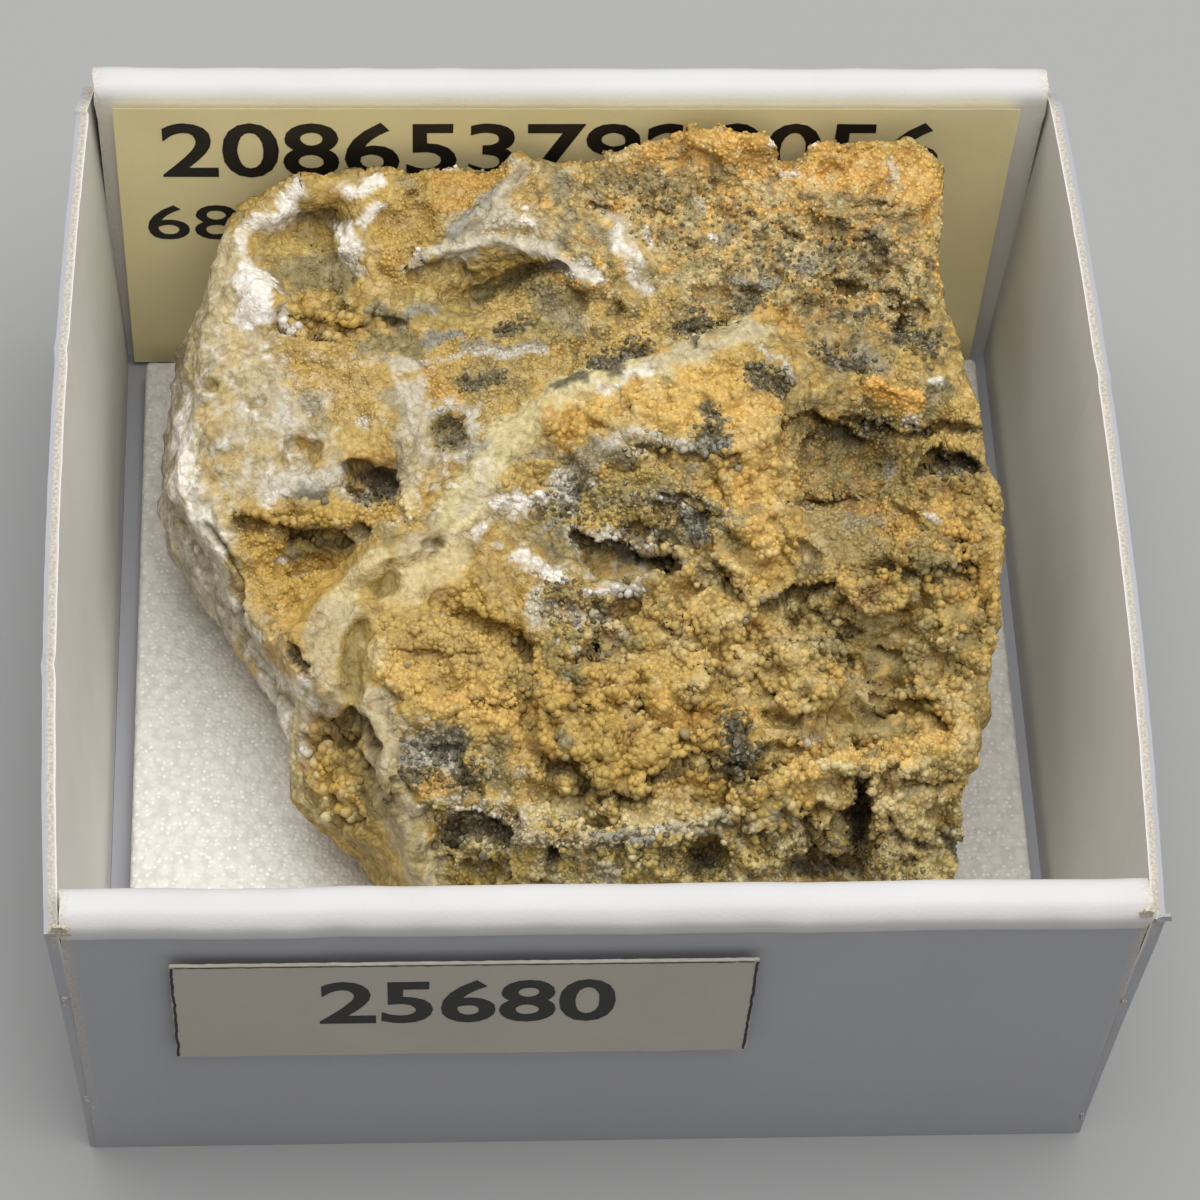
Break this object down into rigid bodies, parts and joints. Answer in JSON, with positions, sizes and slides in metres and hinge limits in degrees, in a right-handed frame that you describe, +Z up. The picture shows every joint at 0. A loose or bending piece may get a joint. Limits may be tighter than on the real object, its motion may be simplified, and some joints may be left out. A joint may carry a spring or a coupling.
{
  "type": "smithsonite specimen in a card box",
  "caption": "Rough ochre and grey mineral stone with a botryoidal crust, resting on a foam pad in a small open folded-card box with a blank label card behind it.",
  "frame": {"origin": "centre of the card box's underside, on the surface that it stands on", "axes": "+Z up, +Y from the front wall with the sticker to the back wall with the label card, +X to the right as seen from the front"},
  "size_m": [0.0412, 0.04, 0.0182],
  "materials": {
    "white_card": "satin coated card with raw cut edges",
    "white_foam": "fine closed cells, slightly sparkling",
    "yellow_card": "matt uncoated card",
    "cream_paper": "matt paper",
    "ochre_stone": "rough botryoidal crust, ochre, grey and white"
  },
  "bodies": {
    "root": {"card_tray": "white_card", "foam_pad": "white_foam", "label_card": "yellow_card", "number_sticker": "cream_paper", "smithsonite_specimen": "ochre_stone"}
  },
  "joints": []
}
